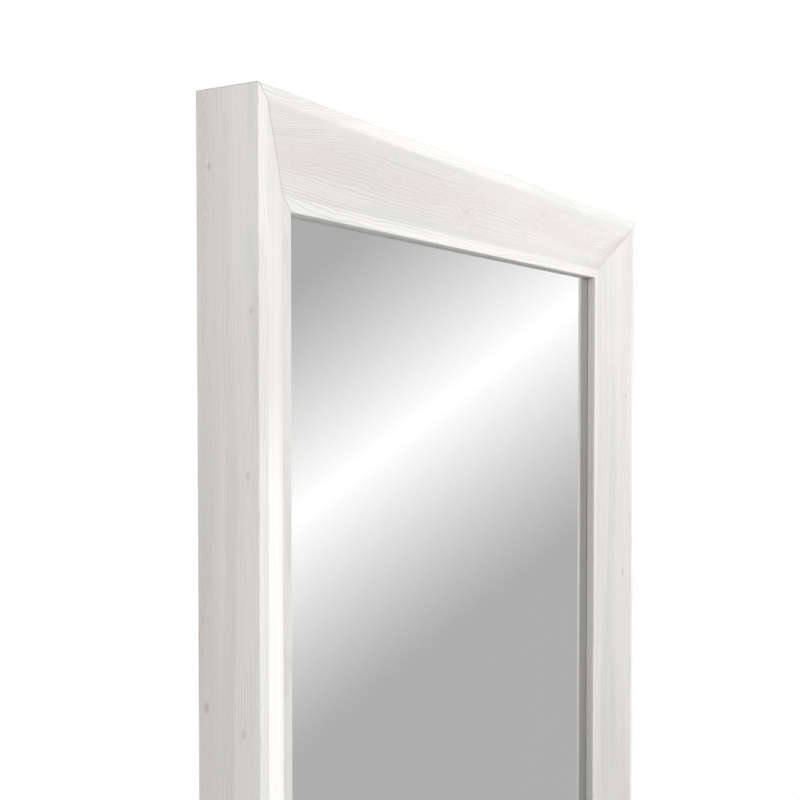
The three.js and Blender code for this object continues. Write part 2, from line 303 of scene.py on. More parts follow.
def tinted(colour, *factors):
    """A colour times one factor, or one for each channel, and no lighter than white."""
    factors = factors * 3 if len(factors) == 1 else factors
    return tuple(min(1, c * f) for c, f in zip(colour, factors))


class Finish:
    """A material under construction, with short calls for the nodes of its pattern."""

    def __init__(self, name, shader="ShaderNodeBsdfPrincipled", world=False):
        self.material = (bpy.data.worlds if world else bpy.data.materials).new(name)
        self.material.use_nodes = True
        self.tree = self.material.node_tree
        self.tree.nodes.clear()
        output = self.tree.nodes.new("ShaderNodeOutputWorld" if world else "ShaderNodeOutputMaterial")
        self.surface = output.inputs["Surface"]
        self.shader = self.tree.nodes.new(shader)
        self.feed(self.surface, self.shader.outputs[0])

    def feed(self, socket, value):
        if isinstance(value, bpy.types.NodeSocket):
            self.tree.links.new(value, socket)
        elif socket.type == "RGBA":
            socket.default_value = (*value[:3], 1)
        else:
            socket.default_value = value

    def fill(self, node, **values):
        for name, value in values.items():
            self.feed(node.inputs[name.replace("_", " ")], value)

    def set(self, **values):
        self.fill(self.shader, **values)

    def node(self, kind, *values, **settings):
        node = self.tree.nodes.new(kind)
        for key, value in settings.items():
            setattr(node, key, value)
        for socket, value in zip(node.inputs, values):
            if value is not None:
                self.feed(socket, value)
        return node

    def math(self, operation, *values, clamp=False):
        return self.node("ShaderNodeMath", *values, operation=operation, use_clamp=clamp).outputs[0]

    def times(self, one, other):
        return self.math("MULTIPLY", one, other)

    def fused(self, one, other, extra, clamp=False):
        """one × other + extra"""
        return self.math("MULTIPLY_ADD", one, other, extra, clamp=clamp)

    def vector(self, operation, *values):
        outputs = self.node("ShaderNodeVectorMath", *values, operation=operation).outputs
        return outputs["Value" if operation in ("LENGTH", "DOT_PRODUCT") else "Vector"]

    def scaled(self, vector, *factors):
        return self.vector("MULTIPLY", vector, factors)

    def shifted(self, vector, by):
        return self.vector("ADD", vector, by)

    def apart(self, vector, other):
        return self.vector("SUBTRACT", vector, other)

    def length(self, vector):
        return self.vector("LENGTH", vector)

    def here(self):
        return self.node("ShaderNodeTexCoord").outputs["Object"]

    def split(self, vector):
        return self.node("ShaderNodeSeparateXYZ", vector).outputs

    def join(self, *parts):
        return self.node("ShaderNodeCombineXYZ", *parts).outputs[0]

    def noise(self, vector, scale=1, detail=2, roughness=0.5, colour=False):
        node = self.node("ShaderNodeTexNoise")
        self.fill(node, Vector=vector, Scale=scale, Detail=detail, Roughness=roughness)
        return node.outputs["Color" if colour else "Fac"]

    def step(self, value, low, high, out_low=0, out_high=1):
        node = self.node("ShaderNodeMapRange", interpolation_type="SMOOTHSTEP")
        self.fill(node, Value=value, From_Min=low, From_Max=high, To_Min=out_low, To_Max=out_high)
        return node.outputs["Result"]

    def mix(self, share, one, other):
        node = self.node("ShaderNodeMix", data_type="RGBA")
        colours = [s for s in node.inputs if s.type == "RGBA"]
        self.feed(node.inputs[0], share)
        self.feed(colours[0], one)
        self.feed(colours[1], other)
        return next(s for s in node.outputs if s.type == "RGBA")

    def tinged(self, colour, other, value, low, high, most=1):
        """The colour, going over to the other as the value rises."""
        return self.mix(self.step(value, low, high, 0, most), colour, other)

    def bump(self, height, distance, strength):
        node = self.node("ShaderNodeBump")
        self.fill(node, Height=height, Distance=distance, Strength=strength)
        self.set(Normal=node.outputs[0])


class Grain(Finish):
    """The wood of one rail: year rings about the tree's heart, which swerve round its knots."""

    def __init__(self, name, rail):
        super().__init__(f"whitewashed_{name}")
        self.rail = rail
        low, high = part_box(name)
        outer = {0: high.z, -90: high.x, 180: -low.z, 90: -low.x}[rail["turn"]]
        mapping = self.node("ShaderNodeMapping", self.here())
        mapping.inputs["Location"].default_value = (0, -low.y / MILLIMETRE, -outer / MILLIMETRE)
        mapping.inputs["Rotation"].default_value = (0, math.radians(rail["turn"]), 0)
        mapping.inputs["Scale"].default_value = (1 / MILLIMETRE,) * 3
        self.place = mapping.outputs[0]
        self.along = self.split(self.place)[0]

    def strewn(self, *lengths, source=None, **pattern):
        """Noise with patches of these lengths in mm: along, behind and outward."""
        seed = self.rail["seed"]
        spot = self.scaled(source or self.place, *(1 / length for length in lengths))
        return self.noise(self.shifted(spot, (seed, seed * 1.7, seed * 0.6)), **pattern)

    def wandering(self):
        """The grain, which wanders slowly along the rail by much, and quickly by less."""
        wander, middle = self.rail["wander"], (0.5, 0.5, 0.5)
        sway = self.apart(self.strewn(150, 60, 60, detail=1, colour=True), middle)
        self.quiver = self.apart(self.strewn(22, 8, 8, colour=True), middle)
        grain = self.shifted(self.place, self.scaled(sway, 0, wander, wander))
        return self.shifted(grain, self.scaled(self.quiver, 0, 1.7, 1.7))

    def round_knots(self, grain):
        """The grain as it opens round each knot, the knots' cores, and the halos of darker wood."""
        core = halo = 0
        for *spot, size, darkness in self.rail["knots"]:
            apart = self.apart(self.place, spot)
            reach = self.length(self.scaled(apart, 0.12 / size, 0.34 / size, 0.34 / size))
            near = self.step(reach, 1, 0, 0, 0.85)
            grain = self.apart(grain, self.vector("MULTIPLY", apart, self.join(0, near, near)))
            ragged = self.shifted(apart, self.scaled(self.quiver, 3.2 * size, 1.6 * size, 1.6 * size))
            reach = self.length(self.scaled(ragged, 0.52 / size, 1 / size, 1 / size))
            core = self.math("MAXIMUM", core, self.step(reach, 1.3, 0.35, 0, darkness))
            halo = self.math("MAXIMUM", halo, self.step(reach, 4.5, 0.8, 0, 0.9 * darkness))
        return grain, core, halo

    def swerving(self, grain):
        """The grain with the rail's swerves and dips, and its depth."""
        _, depth, outward = self.split(grain)
        for middle, half, outer_rise, inner_rise in self.rail["swerves"]:
            rise = self.step(outward, -28, -7, inner_rise, outer_rise)
            outward = self.fused(self.step(self.along, middle - half, middle + half), rise, outward)
        for *spot, size, rise in self.rail["dips"]:
            apart = self.apart(self.place, spot)
            reach = self.length(self.scaled(apart, 0.8 / size, 1.2 / size, 1.2 / size))
            outward = self.math("ADD", outward, self.step(reach, 1, 0, 0, rise))
        return self.join(self.along, depth, outward), depth

    def late_wood(self, grain, ring_width):
        """How dark each year ring is: pale early wood that darkens to a thin line of late wood."""
        radius = self.length(self.apart(grain, self.join(self.along, *self.rail["heart"])))
        uneven = self.noise(self.join(self.times(radius, 0.21), self.rail["seed"], 0))
        rings = self.fused(radius, 1 / (self.rail["ring"] * ring_width), self.times(uneven, 3))
        share = self.math("FRACT", rings)
        late = self.times(self.step(share, 0.50, 0.88), self.step(share, 1, 0.95))
        year = self.node("ShaderNodeTexWhiteNoise", noise_dimensions="1D")
        self.feed(year.inputs["W"], self.math("FLOOR", rings))
        return self.times(late, self.fused(year.outputs["Value"], 0.62, 0.38))

    def stripes(self, grain, kind):
        """Where the rail's bands or flames run."""
        total = 0
        for depth, outward, half, strength in self.rail[kind]:
            reach = self.length(self.apart(grain, self.join(self.along, depth, outward)))
            total = self.math("MAXIMUM", total, self.step(reach, half * 1.25, half * 0.45, 0, strength))
        return total

    def flicker(self, depth):
        """The slanting arcs of a flame."""
        lean = self.math("ABSOLUTE", self.math("SUBTRACT", depth, self.rail["flames"][0][0]))
        slant = self.fused(self.along, 0.21, self.times(lean, 0.42))
        share = self.math("FRACT", self.fused(self.strewn(17, 5, 5), 4.2, slant))
        return self.times(self.step(share, 0.25, 0.75), self.step(share, 1, 0.86))

    def add_painted_shading(self, colour):
        """The colour with the rail's painted light and shade: the wash lighter or darker in patches."""
        for *spot, run, half, factor in self.rail["tones"]:
            reach = self.length(self.scaled(self.apart(self.place, spot), 1 / run, 1 / half, 1 / half))
            # how much this patch of painted light and shade lightens or darkens the wash, none outside it
            tone = self.step(reach, 1.15, 0.7, 1, factor)
            colour = self.vector("MULTIPLY", colour, self.join(tone, tone, tone))
        return colour


def whitewashed_wood(name, rail, look):
    """Softwood with its rings, knots and heartwood under a thin white wash, and bare behind."""
    wood = Grain(name, rail)
    grain, core, halo = wood.round_knots(wood.wandering())
    grain, depth = wood.swerving(grain)
    late = wood.late_wood(grain, look.ring_width)
    patchy = wood.strewn(75, 9, 9)
    band = wood.times(wood.stripes(grain, "bands"), wood.step(patchy, 0.30, 0.56, 0.25, 1))
    flame = wood.times(wood.stripes(grain, "flames"), wood.step(patchy, 0.36, 0.56))
    flame = wood.times(wood.flicker(depth), flame)
    # lines show in some places more than in others, and least in the bands
    thin = wood.step(wood.strewn(85, 7, 7), 0.34, 0.62, 0.38, 1)
    late = wood.times(late, wood.times(thin, wood.fused(band, -0.55, 1)))

    flecks = wood.strewn(4.6, 0.8, 0.8, detail=3, roughness=0.65, source=grain)
    fibres = wood.strewn(14, 0.30, 0.30, detail=3, roughness=0.6, source=grain)
    streaks = wood.strewn(260, 6.5, 6.5, roughness=0.45, source=grain)
    cooler = wood.strewn(120, 5, 5, detail=1, source=wood.shifted(grain, (57, 31, 19)))

    colour = wood.tinged(look.wash, look.sage, cooler, 0.46, 0.62)
    colour = wood.tinged(colour, look.rose, streaks, 0.50, 0.66, 0.42)
    colour = wood.mix(wood.math("MAXIMUM", band, halo), colour, look.rose)
    colour = wood.mix(wood.times(flame, 0.42), colour, look.knot)
    colour = wood.mix(wood.times(late, look.ring_depth * rail["lines"]), colour, look.late)
    speck = wood.times(wood.step(flecks, 0.48, 0.72), wood.fused(band, 0.20, 0.10))
    colour = wood.mix(speck, colour, look.late)
    colour = wood.tinged(colour, look.late, fibres, 0.35, 0.75, 0.10)
    # the knots' cores, then the rail's painted light and shade over the whole colour
    colour = wood.add_painted_shading(wood.mix(core, colour, look.knot))

    # the wash is drawn a little way round the edge, raggedly
    ragged = wood.fused(wood.strewn(9, 2.2, 2.2, detail=3), 0.8, -0.4)
    back = wood.math("ADD", wood.split(wood.place)[1], ragged)
    bare = wood.step(back, look.back_depth - 0.12, look.back_depth + 0.12)
    timber = wood.mix(wood.times(late, 0.85), look.bare, (0.34, 0.19, 0.09))
    timber = wood.tinged(timber, (0.72, 0.55, 0.36), fibres, 0.3, 0.8, 0.35)

    gloss = wood.fused(late, -0.05, 0.35)
    gloss = wood.fused(wood.step(fibres, 0.3, 0.8), 0.07, gloss)
    gloss = wood.fused(bare, 0.3, gloss, clamp=True)
    wood.set(Base_Color=wood.mix(bare, colour, timber), Roughness=gloss, IOR=1.48)
    wood.bump(wood.fused(late, -0.5, wood.times(fibres, 0.5)), 0.00006, 0.35)
    return wood.material


def wood_glue(look):
    """Dried glue and filler, with the wash over it."""
    finish = Finish("wood_glue")
    tone = finish.noise(finish.here(), 700, 3, 0.6)
    dull = tinted(look.wash, 0.80)
    finish.set(Base_Color=finish.tinged(look.wash, dull, tone, 0.35, 0.65))
    finish.set(Roughness=finish.fused(tone, 0.2, 0.4))
    finish.bump(tone, 0.00003, 0.5)
    return finish.material


def silvered_glass():
    """A clean mirror: silver seen through glass, green at the cut edge, grey paint behind."""
    finish = Finish("silvered_glass")
    normal = finish.split(finish.node("ShaderNodeNewGeometry").outputs["Normal"])
    front = finish.step(normal[1], -0.90, -0.95)
    behind = finish.step(normal[1], 0.90, 0.95)
    edge = finish.math("SUBTRACT", 1, finish.math("ADD", front, behind), clamp=True)
    haze = finish.noise(finish.here(), 18, 4, 0.6)
    dust = finish.noise(finish.here(), 900, 2, 0.6)
    colour = finish.tinged((0.662, 0.662, 0.662), (0.658, 0.659, 0.659), haze, 0.4, 0.7)
    colour = finish.mix(edge, colour, (0.16, 0.34, 0.27))
    paint = finish.tinged((0.20, 0.21, 0.22), (0.26, 0.27, 0.28), dust, 0.35, 0.65)
    colour = finish.mix(behind, colour, paint)
    rough = finish.fused(behind, 0.6, finish.times(edge, 0.25), clamp=True)
    # silver hardly gains at a slant, so its tint there is held down
    finish.set(Base_Color=colour, Metallic=front, Roughness=rough, Specular_Tint=(0.90, 0.90, 0.90))
    return finish.material


def zinc_steel(look, name="zinc_steel", lines=None):
    """Zinc plated strip: fine rolling lines, a faint blue and straw cast, scuffs."""
    finish = Finish(name)
    if lines:
        place = finish.node("ShaderNodeUVMap", uv_map=lines).outputs[0]
    else:
        place = finish.here()
    fine = finish.noise(finish.scaled(place, 9000, 260, 9000), 1, 3, 0.6)
    cloud = finish.noise(place, 70, 3, 0.55)
    cast = finish.noise(finish.shifted(place, (3.1, 1.7, 0.4)), 32, 2, 0.5)
    spangle = finish.node("ShaderNodeTexVoronoi", feature="F1")
    finish.feed(spangle.inputs["Vector"], place)
    spangle.inputs["Scale"].default_value = 420
    blue, straw = tinted(look.steel, 0.93, 0.98, 1.06), tinted(look.steel, 1.04, 0.99, 0.86)
    colour = finish.tinged(look.steel, blue, cast, 0.35, 0.65)
    colour = finish.tinged(colour, straw, cloud, 0.5, 0.72, 0.45)
    colour = finish.tinged(colour, (0.42, 0.43, 0.45), fine, 0.40, 0.70, 0.22)
    tone = finish.node("ShaderNodeSeparateColor", spangle.outputs["Color"]).outputs[0]
    rough = finish.fused(finish.step(cloud, 0.3, 0.75), 0.12, 0.24)
    rough = finish.fused(tone, 0.05, rough)
    rough = finish.fused(finish.step(fine, 0.35, 0.75), 0.08, rough)
    finish.set(Base_Color=colour, Metallic=1, Roughness=rough)
    finish.bump(fine, 0.000012, 0.5)
    return finish.material


def turned_brass(look):
    """Turned brass with fine tool marks."""
    finish = Finish("turned_brass")
    tone = finish.noise(finish.here(), 260, 4, 0.6)
    marks = finish.noise(finish.scaled(finish.here(), 900, 9000, 900), 1, 2)
    dull = tinted(look.brass, 0.72, 0.66, 0.6)
    finish.set(Base_Color=finish.tinged(look.brass, dull, tone, 0.4, 0.7), Metallic=1)
    finish.set(Roughness=finish.fused(marks, 0.2, 0.22))
    finish.bump(marks, 0.00001, 0.5)
    return finish.material


def wool_felt(look):
    """Pressed felt: matted fibres, pale and dark hairs, a soft nap."""
    finish = Finish("wool_felt")
    place = finish.here()
    matted = finish.noise(place, 2600, 4, 0.7)
    hairs = finish.noise(finish.shifted(place, (0.7, 0.2, 0.5)), 900, 3, 0.65)
    clumps = finish.noise(place, 210, 3, 0.5)
    pale = tinted(look.felt, 1.28)
    dark = tinted(look.felt, 0.62)
    colour = finish.tinged(dark, look.felt, matted, 0.32, 0.70)
    colour = finish.tinged(colour, pale, hairs, 0.55, 0.72, 0.8)
    colour = finish.tinged(colour, dark, clumps, 0.45, 0.7, 0.3)
    finish.set(Base_Color=colour, Roughness=0.95, Sheen_Weight=0.35, Sheen_Roughness=0.5)
    finish.bump(finish.math("ADD", matted, hairs), 0.00035, 0.8)
    return finish.material


def moulded_rubber(look):
    """Matt rubber with a spark-eroded mould texture and a dusty bloom."""
    finish = Finish("moulded_rubber")
    place = finish.here()
    pitted = finish.noise(place, 3200, 2, 0.6)
    bloom = finish.noise(place, 160, 4, 0.6)
    dusty = tinted(look.rubber, 2.4)
    finish.set(Base_Color=finish.tinged(look.rubber, dusty, bloom, 0.40, 0.75, 0.7))
    finish.set(Roughness=finish.fused(pitted, 0.2, 0.55))
    finish.bump(pitted, 0.00008, 0.6)
    return finish.material


def hardboard(look):
    """Pressed board, with flecks of fibre and the print of the press's wire screen."""
    finish = Finish("hardboard")
    place = finish.here()
    flecks = finish.noise(finish.scaled(place, 900, 900, 420), 1, 4, 0.7)
    hair = finish.noise(finish.scaled(place, 2300, 2300, 520), 1, 3, 0.6)
    cloud = finish.noise(place, 9, 4, 0.55)
    x, _, z = finish.split(finish.scaled(place, 2 * math.pi / 0.0017, 1, 2 * math.pi / 0.0014))
    screen = finish.times(finish.math("SINE", x), finish.math("SINE", z))
    pale = tinted(look.board, 1.55, 1.6, 1.6)
    dark = tinted(look.board, 0.6)
    colour = finish.tinged(look.board, pale, cloud, 0.3, 0.7, 0.6)
    colour = finish.tinged(colour, dark, flecks, 0.50, 0.74, 0.55)
    colour = finish.tinged(colour, pale, hair, 0.60, 0.75, 0.5)
    colour = finish.tinged(colour, dark, screen, 0.1, 0.9, 0.30)
    finish.set(Base_Color=colour, Roughness=finish.fused(flecks, 0.3, 0.5))
    finish.bump(finish.fused(hair, 0.6, finish.times(screen, -0.5)), 0.00012, 0.7)
    return finish.material


# ---------------- meshes


def dress(node_name, material):
    """Gives a node of the packed part its finish."""
    mesh = frame["nodes"][node_name].data
    if not mesh.materials:
        mesh.materials.append(material)
    for i in range(len(mesh.materials)):
        mesh.materials[i] = material


def placed(name, data):
    """Puts an object with this data in the scene."""
    obj = bpy.data.objects.new(name, data)
    bpy.context.scene.collection.objects.link(obj)
    return obj


def mesh_object(name, bm, material):
    """Puts a bmesh in the scene as an object of its own, and frees it."""
    mesh = bpy.data.meshes.new(name)
    bm.to_mesh(mesh)
    bm.free()
    mesh.materials.append(material)
    return placed(name, mesh)


def plain_piece(bm, name, body, material, sharp=35):
    """Turns a closed bmesh into a piece that moves with a body."""
    bmesh.ops.remove_doubles(bm, verts=bm.verts, dist=1e-6)
    bmesh.ops.recalc_face_normals(bm, faces=bm.faces)
    for face in bm.faces:
        face.smooth = True
    open_edges = [e for e in bm.edges if len(e.link_faces) != 2]
    if open_edges:
        raise RuntimeError(f"{name} has {len(open_edges)} open edges")
    piece = mesh_object(name, bm, material)
    piece.data.set_sharp_from_angle(angle=math.radians(sharp))
    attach(piece, body)
    return piece


def finished_piece(bm, name, node_name, material, sharp=35):
    """Turns a closed bmesh into the piece that stands for a node and moves with its body."""
    piece = plain_piece(bm, name, frame["nodes"][node_name]["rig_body"], material, sharp)
    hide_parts(node_name)
    return piece


def round_off(bm, geom, radius, segments, affect="EDGES", clamp=False):
    bmesh.ops.bevel(
        bm, geom=geom, offset=radius, offset_type="OFFSET", segments=segments, profile=0.5,
        affect=affect, clamp_overlap=clamp, material=-1,
    )


def rims(bm):
    return [e for e in bm.edges if e.calc_face_angle(0) > CREASE]


def everything(bm):
    return list(bm.verts) + list(bm.edges) + list(bm.faces)


def block(low, high):
    """A plain block between two corners of a box."""
    bm = bmesh.new()
    verts = bmesh.ops.create_cube(bm, size=1)["verts"]
    bmesh.ops.scale(bm, verts=verts, vec=high - low)
    bmesh.ops.translate(bm, verts=verts, vec=(low + high) / 2)
    return bm


def lathe(points, steps=48):
    """Spins a half section of (radius, y) points about the Y axis."""
    bm = bmesh.new()
    verts = [bm.verts.new((radius, y, 0)) for radius, y in points]
    edges = [bm.edges.new(pair) for pair in zip(verts, verts[1:])]
    bmesh.ops.spin(
        bm, geom=verts + edges, cent=(0, 0, 0), axis=(0, 1, 0), angle=math.tau, steps=steps, use_merge=True,
    )
    bmesh.ops.remove_doubles(bm, verts=bm.verts, dist=1e-7)
    return bm


# ---------------- frame


class MIRROR_OT_wooden_frame(Operator):
    """Finish the four mitred rails in whitewashed wood"""

    bl_idname = "mirror.wooden_frame"
    bl_label = "Wooden Frame"

    def execute(self, context):
        look = context.scene.mirror_wood
        for name, rail in RAILS.items():
            dress(name, whitewashed_wood(name, rail, look))
        return {"FINISHED"}


def moulding_section(front, back, inside):
    """The rails' section, drawn in by a little, as (inward from the outer side, y) points."""
    lip, lip_back = front + SLOPE_FALL + inside, front + SIGHT_WALL_END - inside
    sight_edge = MOULDING_WIDTH - inside
    rebate = sight_edge - REBATE_WIDTH
    return (
        (inside, front + MOULDING_ARRIS), (MOULDING_ARRIS, front + inside), (OUTER_LIP, front + inside),
        (SLOPE_END, lip), (MOULDING_WIDTH - MOULDING_ARRIS, lip), (sight_edge, lip + MOULDING_ARRIS),
        (sight_edge, lip_back), (rebate, lip_back), (rebate, back - inside), (inside, back - inside),
    )


class MIRROR_OT_mitre_glue(Operator):
    """Fill the four mitres with a thin film of glue"""

    bl_idname = "mirror.mitre_glue"
    bl_label = "Mitre Glue"

    def execute(self, context):
        low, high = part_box("left_stile")[0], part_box("right_stile")[1]
        bm = bmesh.new()
        for side in (-1, 1):
            for end in (-1, 1):
                corner = Vector((side * high.x, 0, high.z if end > 0 else low.z))
                verts = [
                    bm.verts.new((corner.x - side * inward, y, corner.z - end * inward))
                    for inward, y in moulding_section(low.y, high.y, GLUE_RECESS)
                ]
                across = Vector((side, 0, -end)).normalized() * GLUE_THICKNESS
                made = bmesh.ops.extrude_face_region(bm, geom=[bm.faces.new(verts)])
                moved = [g for g in made["geom"] if isinstance(g, bmesh.types.BMVert)]
                bmesh.ops.translate(bm, verts=moved, vec=across)
                bmesh.ops.translate(bm, verts=verts + moved, vec=-across / 2)
        plain_piece(bm, "mitre_glue", "mirror", wood_glue(context.scene.mirror_wood))
        return {"FINISHED"}


class MIRROR_OT_glass(Operator):
    """Lay the mirror glass, with its ground edges, against the rebate"""

    bl_idname = "mirror.glass"
    bl_label = "Mirror Glass"

    def execute(self, context):
        low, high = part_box("mirror_glass")
        low.y -= REBATE_GAP
        bm = block(low, high)
        round_off(bm, list(bm.edges), GLASS_EDGE, 2)
        finished_piece(bm, "mirror_plate", "mirror_glass", silvered_glass(), sharp=20)
        return {"FINISHED"}


class MIRROR_OT_backing(Operator):
    """Finish the backing board and the glazing points that hold it"""

    bl_idname = "mirror.backing"
    bl_label = "Backing"

    def execute(self, context):
        look = context.scene.mirror_hardware
        dress("backing_board", hardboard(look))
        steel = zinc_steel(look, "pressed_steel")
        for name in frame["nodes"]:
            if name.startswith(("glazing_point", "v_nail")):
                dress(name, steel)
        brass = turned_brass(look)
        for screw in SCREWS:
            dress(f"threaded_insert_{screw}", brass)
        return {"FINISHED"}


# ---------------- hangers


def strap_bends(shape, low, high, door_gap):
    """The strap's bends from the foot up: (distance along the flat strap, angle), and its flat length."""
    half = shape.thickness / 2
    radius = shape.bend + half
    front = low.y + half
    top = high.z - half
    slope = math.atan2(-half - front, shape.joggle)
    joggle_top = top - half - shape.bend - shape.bearing - radius * math.tan(slope / 2)
    rear = door_gap + half
    corners = [
        Vector((front, low.z)),
        Vector((front, joggle_top - shape.joggle)),
        Vector((-half, joggle_top)),
        Vector((-half, top)),
        Vector((rear, top)),
        Vector((rear, shape.flare_height - shape.rear_leg)),
        Vector((rear + shape.flare, -shape.rear_leg)),
    ]
    bends = []
    run = 0
    spare = 0
    for before, corner, after in zip(corners, corners[1:], corners[2:]):
        into, out = (corner - before).normalized(), (after - corner).normalized()
        angle = math.atan2(into.cross(out), into.dot(out))
        setback = radius * math.tan(abs(angle) / 2)
        run += (corner - before).length - spare - setback
        bends.append((run, angle))
        run += radius * abs(angle)
        spare = setback
    run += (corners[-1] - corners[-2]).length - spare
    return bends, run


def bend_strap(bm, run_layer, bends, radius, middle, foot):
    """Bends the flat strap, from its far end back to its foot, keeping its length along the middle."""
    for start, angle in reversed(bends):
        arc = radius * abs(angle)
        side = 1 if angle < 0 else -1
        centre = Vector((0, middle + side * radius, foot + start))
        rows = {}
        for vert in bm.verts:
            run = vert[run_layer]
            if run > start + 1e-7:
                rows.setdefault(round(min(run - start, arc), 7), []).append(vert)
        for past, verts in rows.items():
            share = past / arc
            bmesh.ops.translate(bm, verts=verts, vec=(0, 0, -past))
            bmesh.ops.rotate(bm, verts=verts, cent=centre, matrix=Matrix.Rotation(angle * share, 3, "X"))


def strap_piece(shape, low, high, door_gap):
    """One hanger strap as a bmesh, with the distance along it in its UV map."""
    bm = bmesh.new()
    bends, length = strap_bends(shape, low, high, door_gap)
    width = high.x - low.x
    slot_length = shape.travel + shape.slot_width
    slot_middle = shape.foot + slot_length / 2
    across = (low.x + high.x) / 2

    def outline(panel_width, height, corner, x, run, segments):
        made = bmesh.ops.create_grid(bm, x_segments=1, y_segments=1, size=0.5)
        verts = made["verts"]
        bmesh.ops.scale(bm, verts=verts, vec=(panel_width, height, 1))
        bmesh.ops.rotate(bm, verts=verts, cent=(0, 0, 0), matrix=Matrix.Rotation(math.radians(90), 3, "X"))
        bmesh.ops.translate(bm, verts=verts, vec=(x, low.y, run))
        round_off(bm, verts, corner, segments, affect="VERTICES")

    outline(width, length, shape.corner, across, length / 2, 6)
    for side in (-1, 1):
        x = across + side * shape.slot_spacing / 2
        outline(shape.slot_width, slot_length, shape.slot_width * 0.4999, x, slot_middle, 8)
    bmesh.ops.delete(bm, geom=list(bm.faces), context="FACES_ONLY")
    bmesh.ops.triangle_fill(bm, edges=list(bm.edges), use_beauty=True, use_dissolve=False)

    radius = shape.bend + shape.thickness / 2
    for start, angle in bends:
        for step in range(shape.steps + 1):
            cut = start + radius * abs(angle) * step / shape.steps
            bmesh.ops.bisect_plane(
                bm, geom=everything(bm), dist=1e-8, plane_co=(0, 0, cut), plane_no=(0, 0, 1)
            )

    made = bmesh.ops.extrude_face_region(bm, geom=list(bm.faces))
    top = [g for g in made["geom"] if isinstance(g, bmesh.types.BMVert)]
    bmesh.ops.translate(bm, verts=top, vec=(0, shape.thickness, 0))
    bmesh.ops.recalc_face_normals(bm, faces=bm.faces)
    round_off(bm, rims(bm), shape.edge, 2, clamp=True)

    run_layer = bm.verts.layers.float.new("run")
    for vert in bm.verts:
        vert[run_layer] = vert.co.z
    bmesh.ops.translate(bm, verts=bm.verts, vec=(0, 0, low.z))
    uv_layer = bm.loops.layers.uv.new("strap_run")
    for face in bm.faces:
        for loop in face.loops:
            loop[uv_layer].uv = (loop.vert.co.x, loop.vert[run_layer])
    bend_strap(bm, run_layer, bends, radius, low.y + shape.thickness / 2, low.z)
    return bm


class MIRROR_OT_hangers(Operator):
    """Bend the two steel hangers over the door"""

    bl_idname = "mirror.hangers"
    bl_label = "Hangers"

    def execute(self, context):
        shape = context.scene.mirror_strap
        steel = zinc_steel(context.scene.mirror_hardware, "zinc_strip", lines="strap_run")
        for side in SIDES:
            low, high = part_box(f"{side}_hanger")
            rear_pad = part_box(f"{side}_hanger_rear_pad")[1].y
            bm = strap_piece(shape, low, high, rear_pad + CAD_GAP)
            finished_piece(bm, f"{side}_hanger_strap", f"{side}_hanger", steel)
        return {"FINISHED"}


def felt_block(low, high, corner, edge):
    """A felt pad between two corners of a box, with cut corners rounded and its edges soft."""
    bm = block(low, high)
    size = high - low
    thin = min(range(3), key=lambda i: size[i])
    uprights = [e for e in bm.edges if abs((e.verts[0].co - e.verts[1].co)[thin]) > size[thin] * 0.5]
    round_off(bm, uprights, corner, 6)
    round_off(bm, rims(bm), edge, 3)
    return bm


class MIRROR_OT_felt_pads(Operator):
    """Cut the felt pads inside the hangers"""

    bl_idname = "mirror.felt_pads"
    bl_label = "Felt Pads"

    def execute(self, context):
        felt = wool_felt(context.scene.mirror_hardware)
        for side in SIDES:
            for place in ("top", "rear"):
                node_name = f"{side}_hanger_{place}_pad"
                bm = felt_block(*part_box(node_name), PAD_CORNER, PAD_EDGE)
                finished_piece(bm, f"{side}_{place}_felt", node_name, felt)
        return {"FINISHED"}


# ---------------- clamp screws


def cut_coin_slot(bm, shape):
    """Opens a slot across the top of the head, from rim to rim."""
    half, floor = shape.slot_width / 2, shape.head_height - shape.slot_depth
    for spot, way in (((0, 0, half), (0, 0, 1)), ((0, 0, -half), (0, 0, 1)), ((0, floor, 0), (0, 1, 0))):
        bmesh.ops.bisect_plane(bm, geom=everything(bm), dist=1e-7, plane_co=spot, plane_no=way)
    inside = [
        f for f in bm.faces
        if abs(f.calc_center_median().z) < half and f.calc_center_median().y > floor + 1e-6
    ]
    bmesh.ops.delete(bm, geom=inside, context="FACES")
    mouths = {-1: [], 1: [], 0: []}
    for edge in bm.edges:
        if len(edge.link_faces) != 1:
            continue
        z = sum(v.co.z for v in edge.verts) / 2
        on_wall = abs(abs(z) - half) < 1e-6 and all(abs(abs(v.co.z) - half) < 1e-6 for v in edge.verts)
        mouths[(1 if z > 0 else -1) if on_wall else 0].append(edge)
    for side in (-1, 1):
        low_ends = [v for v in {v for e in mouths[side] for v in e.verts} if abs(v.co.y - floor) < 1e-6]
        bottom = bm.edges.new(sorted(low_ends, key=lambda v: v.co.x))
        bmesh.ops.contextual_create(bm, geom=mouths[side] + [bottom])
        mouths[0].append(bottom)
    bmesh.ops.contextual_create(bm, geom=mouths[0])


